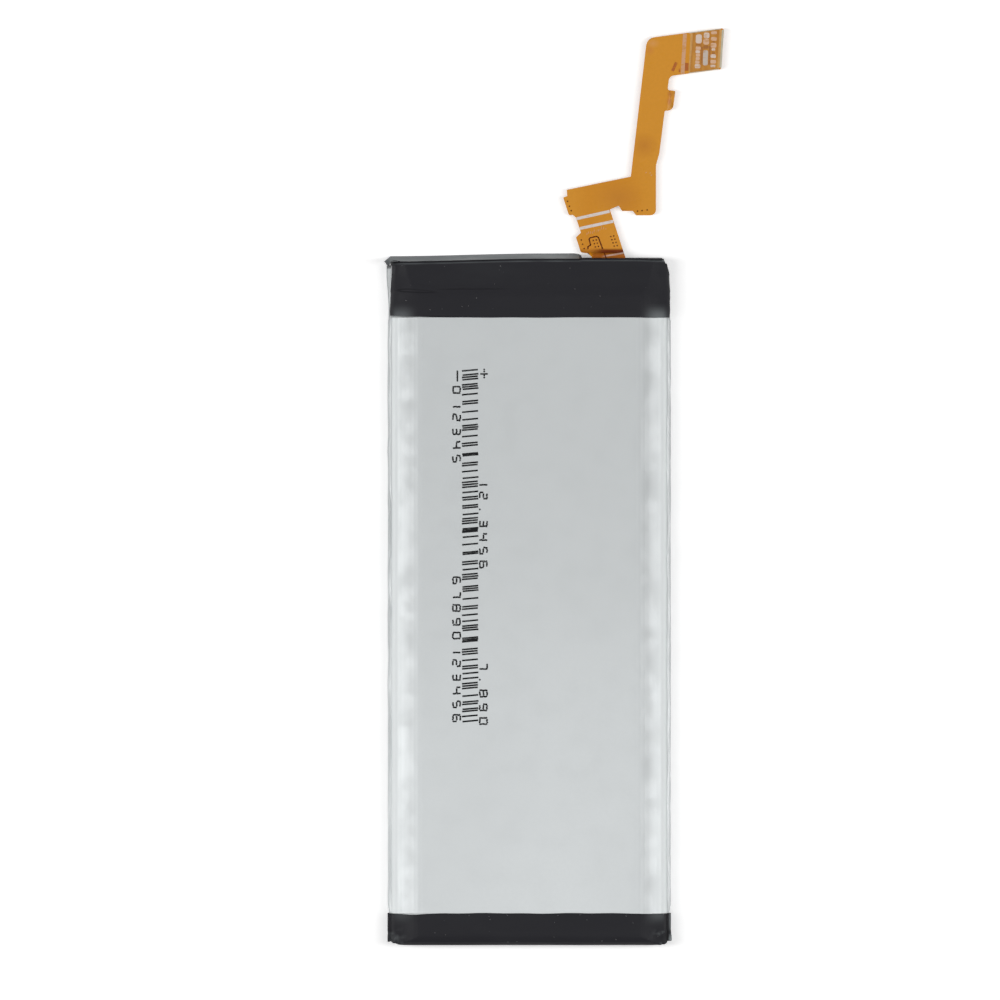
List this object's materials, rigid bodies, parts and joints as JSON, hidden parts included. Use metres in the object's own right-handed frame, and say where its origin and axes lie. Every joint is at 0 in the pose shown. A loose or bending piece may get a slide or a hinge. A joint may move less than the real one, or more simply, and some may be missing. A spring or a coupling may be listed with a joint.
{
  "type": "mobile phone battery",
  "caption": "Slim lithium-polymer pouch cell with black tape over both ends and a stepped flexible circuit with a board-to-board plug.",
  "frame": {"origin": "middle of the cell's flat back face", "axes": "+Z out of the printed face, +Y along the cell towards the flexible circuit, +X across the cell, to the right as seen from the front"},
  "size_m": [0.047, 0.1266, 0.0046],
  "materials": {
    "pouch": "satin laminate",
    "tape": "satin",
    "flex": "satin polyimide",
    "stiffener": "satin polyimide",
    "plug_body": "moulded",
    "contact": "gold plated",
    "aluminium_tab": "foil",
    "nickel": "nickel strip",
    "sealing_film": "film",
    "insulator": "film",
    "board": "solder mask",
    "moulded_chip": "moulded",
    "resistor": "glazed",
    "thermistor": "glazed",
    "capacitor": "fired",
    "foam": "closed-cell foam"
  },
  "bodies": {
    "root": {"pouch_cell": "pouch", "positive_tab": "aluminium_tab", "negative_tab": "nickel", "positive_tab_film": "sealing_film", "negative_tab_film": "sealing_film", "terrace_insulator": "insulator", "protection_board": "board", "positive_weld_plate": "nickel", "negative_weld_plate": "nickel", "thermal_fuse": "moulded_chip", "mosfet_pair": "moulded_chip", "protection_ic": "moulded_chip", "sense_resistor": "resistor", "thermistor": "thermistor", "chip_capacitors": "capacitor", "chip_resistors": "resistor", "board_spacer": "foam", "flex_circuit": "flex", "flex_stiffener": "stiffener", "connector_housing": "plug_body", "signal_contacts": "contact", "power_contacts": "contact", "top_tape": "tape", "bottom_tape": "tape"}
  },
  "joints": []
}
